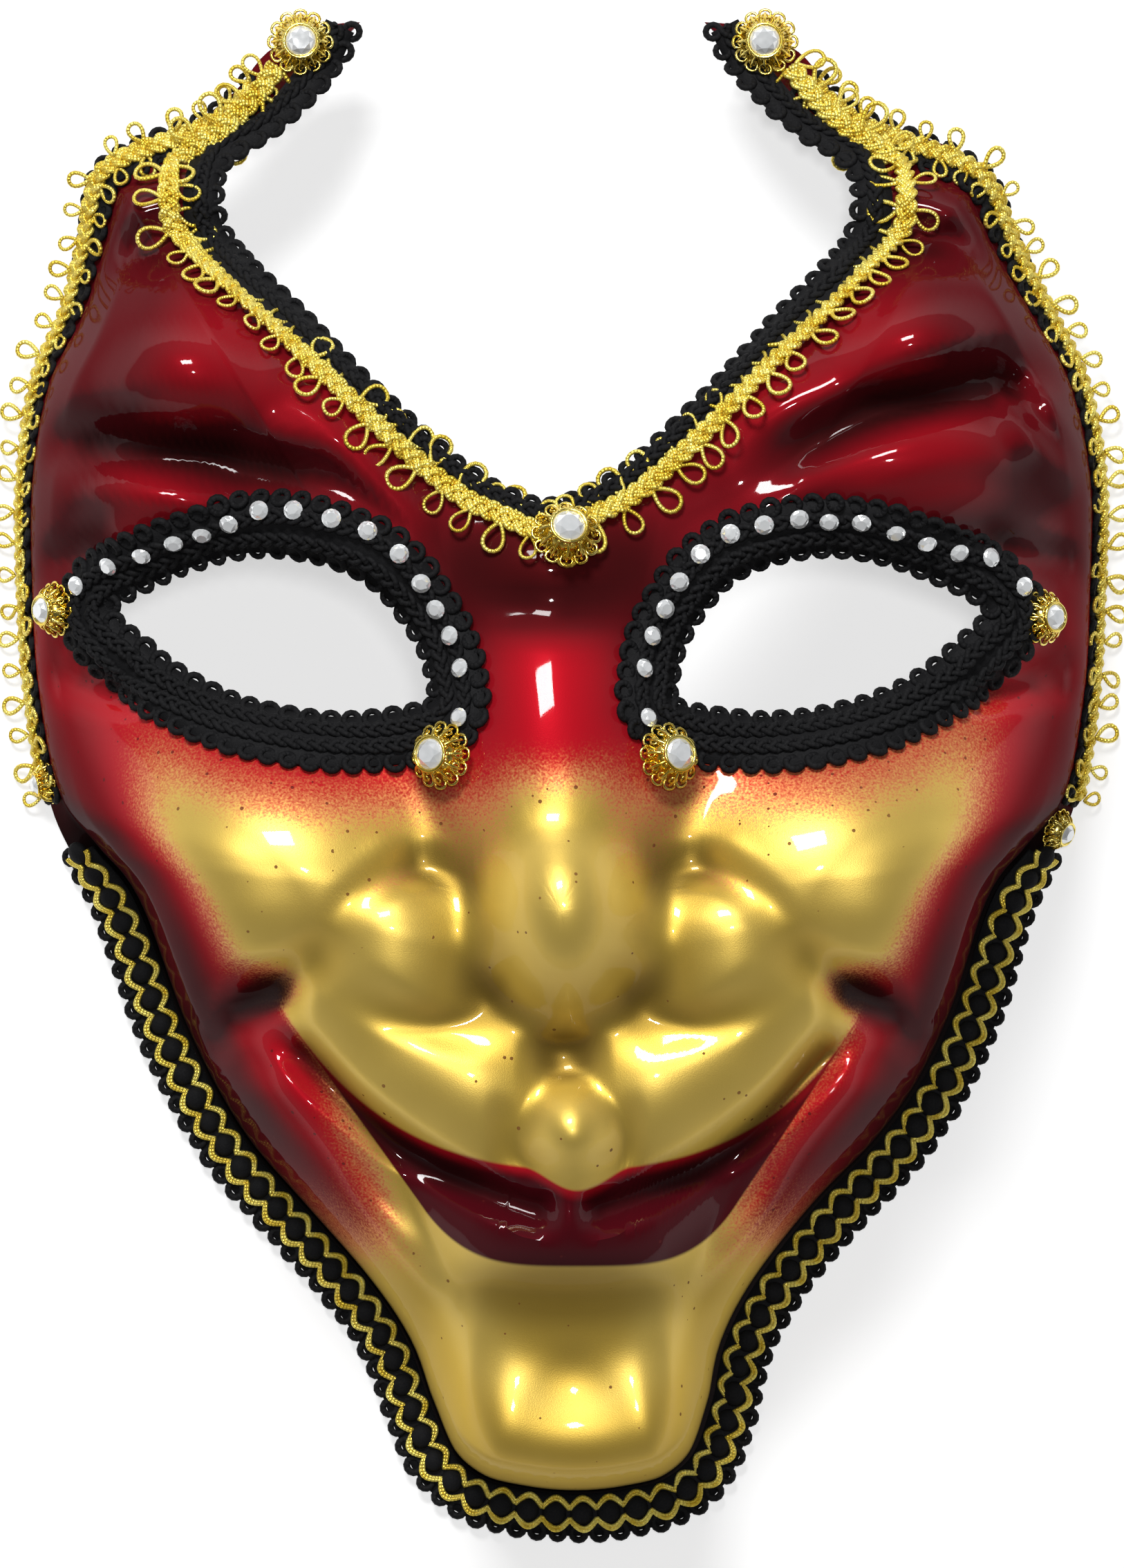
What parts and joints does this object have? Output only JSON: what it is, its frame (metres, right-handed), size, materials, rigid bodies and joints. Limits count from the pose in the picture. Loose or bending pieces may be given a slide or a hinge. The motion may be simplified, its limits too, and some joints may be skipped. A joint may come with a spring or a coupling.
{
  "type": "full face carnival mask",
  "caption": "Hollow moulded full face mask with a grinning face, eye holes and a notched brow running up into horns, edged with gimp and metal braid and set with stones.",
  "frame": {"origin": "middle of the underside of the rim, on the surface that the mask lies on", "axes": "+X to the viewer's right, +Y from the chin up to the horns, +Z out of the face"},
  "size_m": [0.1764, 0.2442, 0.0732],
  "materials": {
    "lacquer": "moulded plastic, sprayed red and gold under a clear gloss coat",
    "gimp": "matte black gimp braid",
    "metal_braid": "plaited metal thread with picot loops",
    "jaw_gimp": "black gimp with metal thread along both edges",
    "filigree": "stamped filigree setting with a clear stone",
    "crystal": "foiled clear stone"
  },
  "bodies": {
    "root": {"shell": "lacquer", "notch_braid": "gimp", "notch_gold_braid": "metal_braid", "jaw_braid": "jaw_gimp", "eye_braid_left": "gimp", "side_braid_left": "metal_braid", "gem_side_left": "filigree", "gem_horn_left": "filigree", "gem_inner_eye_left": "filigree", "gem_outer_eye_left": "filigree", "rhinestone_left_01": "crystal", "rhinestone_left_02": "crystal", "rhinestone_left_03": "crystal", "rhinestone_left_04": "crystal", "rhinestone_left_05": "crystal", "rhinestone_left_06": "crystal", "rhinestone_left_07": "crystal", "rhinestone_left_08": "crystal", "rhinestone_left_09": "crystal", "rhinestone_left_10": "crystal", "rhinestone_left_11": "crystal", "rhinestone_left_12": "crystal", "rhinestone_left_13": "crystal", "rhinestone_left_14": "crystal", "rhinestone_left_15": "crystal", "rhinestone_left_16": "crystal", "eye_braid_right": "gimp", "side_braid_right": "metal_braid", "gem_side_right": "filigree", "gem_horn_right": "filigree", "gem_inner_eye_right": "filigree", "gem_outer_eye_right": "filigree", "rhinestone_right_01": "crystal", "rhinestone_right_02": "crystal", "rhinestone_right_03": "crystal", "rhinestone_right_04": "crystal", "rhinestone_right_05": "crystal", "rhinestone_right_06": "crystal", "rhinestone_right_07": "crystal", "rhinestone_right_08": "crystal", "rhinestone_right_09": "crystal", "rhinestone_right_10": "crystal", "rhinestone_right_11": "crystal", "rhinestone_right_12": "crystal", "rhinestone_right_13": "crystal", "rhinestone_right_14": "crystal", "rhinestone_right_15": "crystal", "rhinestone_right_16": "crystal", "gem_forehead": "filigree"}
  },
  "joints": []
}
